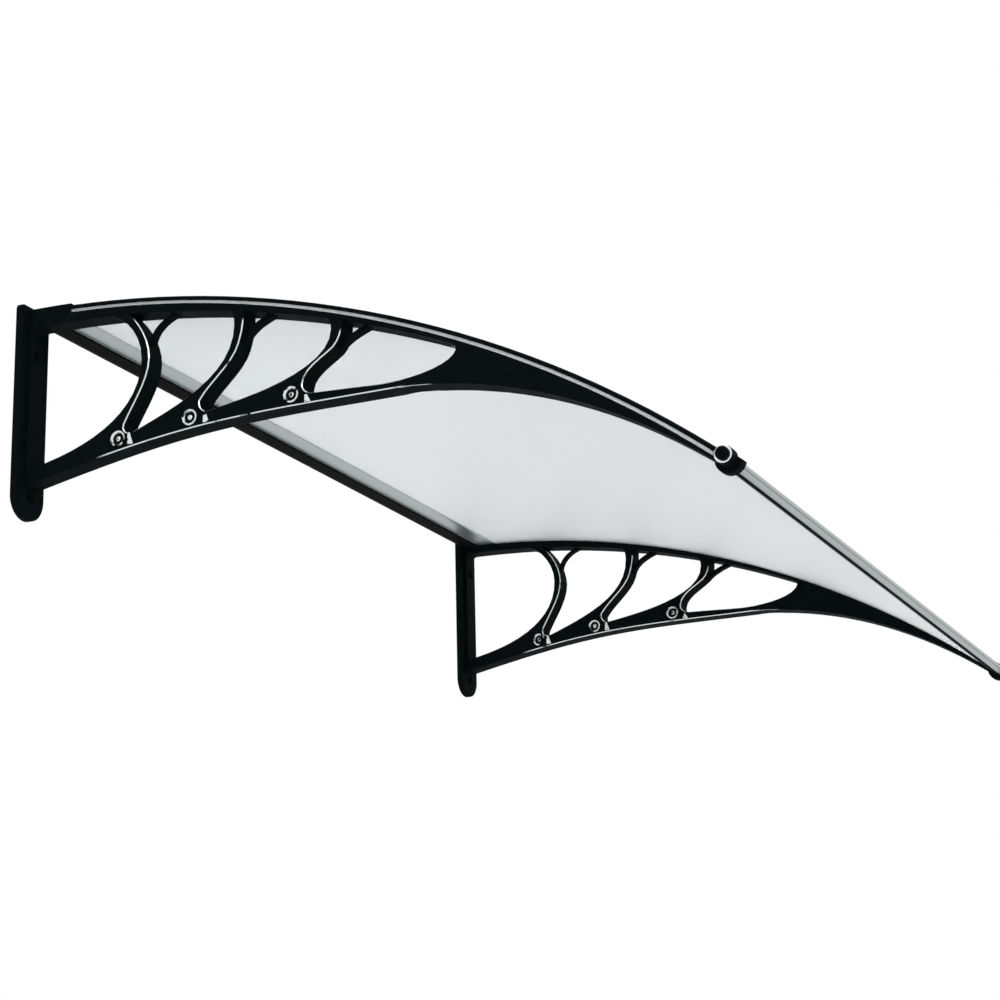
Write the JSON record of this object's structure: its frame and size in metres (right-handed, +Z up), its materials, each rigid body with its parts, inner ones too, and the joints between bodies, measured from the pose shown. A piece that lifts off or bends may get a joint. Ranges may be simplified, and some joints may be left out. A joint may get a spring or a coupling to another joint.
{
  "type": "door canopy",
  "caption": "Arched translucent polycarbonate door canopy on two pierced moulded side brackets, with a front bar, a rear wall bar and cover strips.",
  "frame": {"origin": "on the wall plane, in the middle of the left wall plate's back, 123.7 mm below the top of the plate", "axes": "+X to the right seen from the street, +Y into the wall, +Z up; the canopy reaches out along -Y"},
  "size_m": [1.046, 0.7358, 0.2739],
  "materials": {
    "black_plastic": "fine grained moulded black plastic with a soft gloss",
    "plated_steel": "bright zinc plating",
    "polycarbonate": "smooth solid sheet, pale and translucent",
    "aluminium": "satin anodised",
    "black_rubber": "matt"
  },
  "bodies": {
    "root": {"bracket_left": "black_plastic", "bracket_right": "black_plastic", "cover_strip_left": "black_plastic", "cover_strip_right": "black_plastic", "front_socket_left": "black_plastic", "front_socket_right": "black_plastic", "front_cap_left": "black_plastic", "front_cap_right": "black_plastic", "front_washer_left": "plated_steel", "front_washer_right": "plated_steel", "front_bolt_left": "plated_steel", "front_bolt_right": "plated_steel", "strip_screw_left_1": "plated_steel", "strip_screw_left_2": "plated_steel", "strip_screw_left_3": "plated_steel", "strip_screw_left_4": "plated_steel", "strip_screw_left_5": "plated_steel", "strip_screw_right_1": "plated_steel", "strip_screw_right_2": "plated_steel", "strip_screw_right_3": "plated_steel", "strip_screw_right_4": "plated_steel", "strip_screw_right_5": "plated_steel", "sheet": "polycarbonate", "front_bar": "aluminium", "rear_bar": "aluminium", "front_bar_gasket": "black_rubber", "rear_base_strip": "black_rubber", "wall_seal": "black_rubber"}
  },
  "joints": []
}
